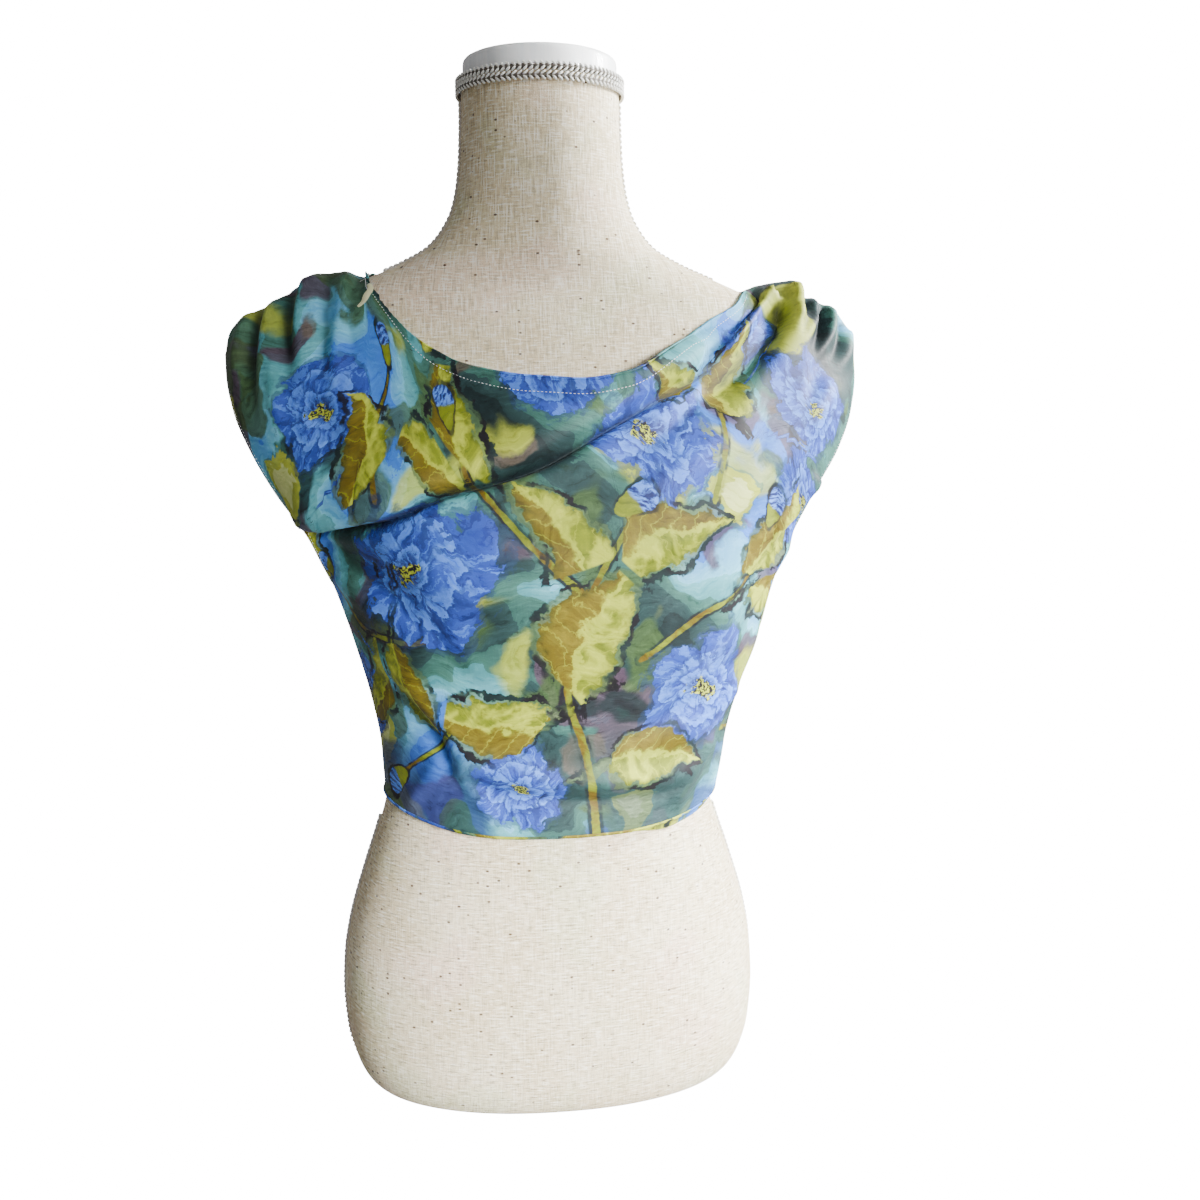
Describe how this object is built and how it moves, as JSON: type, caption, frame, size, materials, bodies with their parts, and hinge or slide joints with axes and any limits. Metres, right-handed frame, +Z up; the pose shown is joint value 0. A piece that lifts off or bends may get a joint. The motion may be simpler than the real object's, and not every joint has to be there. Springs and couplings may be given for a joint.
{
  "type": "cowl neck crop top on a dress form",
  "caption": "Sleeveless cropped top with a draped cowl neck and gathered extended shoulders, worn by a limbless dress form with a flat base.",
  "frame": {"origin": "middle of the bounding box's bottom, on the form's flat base", "axes": "+Z up, +X to the viewer's right as the front is looked at, the front faces -Y"},
  "size_m": [0.5142, 0.2654, 0.8363],
  "materials": {
    "front_print": "satin print, blue blooms and yellow-green leaves on teal",
    "back_print": "satin print, blue blooms and yellow-green leaves on teal",
    "hem_print": "paler wrong side of the print",
    "linen_cover": "slubbed linen",
    "cap_white": "satin white",
    "braid_white": "white braid",
    "tab_cream": "cream ribbon"
  },
  "bodies": {
    "root": {"form_body": "linen_cover", "neck_cap": "cap_white", "neck_braid_lower": "braid_white", "neck_braid_upper": "braid_white", "side_braid_left": "braid_white", "side_braid_right": "braid_white", "neck_side_braid_left": "braid_white", "neck_side_braid_right": "braid_white", "front_panel": "front_print", "back_panel": "back_print", "neck_hem_front": "hem_print", "neck_hem_back": "hem_print", "hem_front": "hem_print", "hem_back": "hem_print", "armhole_hem_front_left": "hem_print", "armhole_hem_front_right": "hem_print", "armhole_hem_back_left": "hem_print", "armhole_hem_back_right": "hem_print", "shoulder_tab": "tab_cream"}
  },
  "joints": []
}
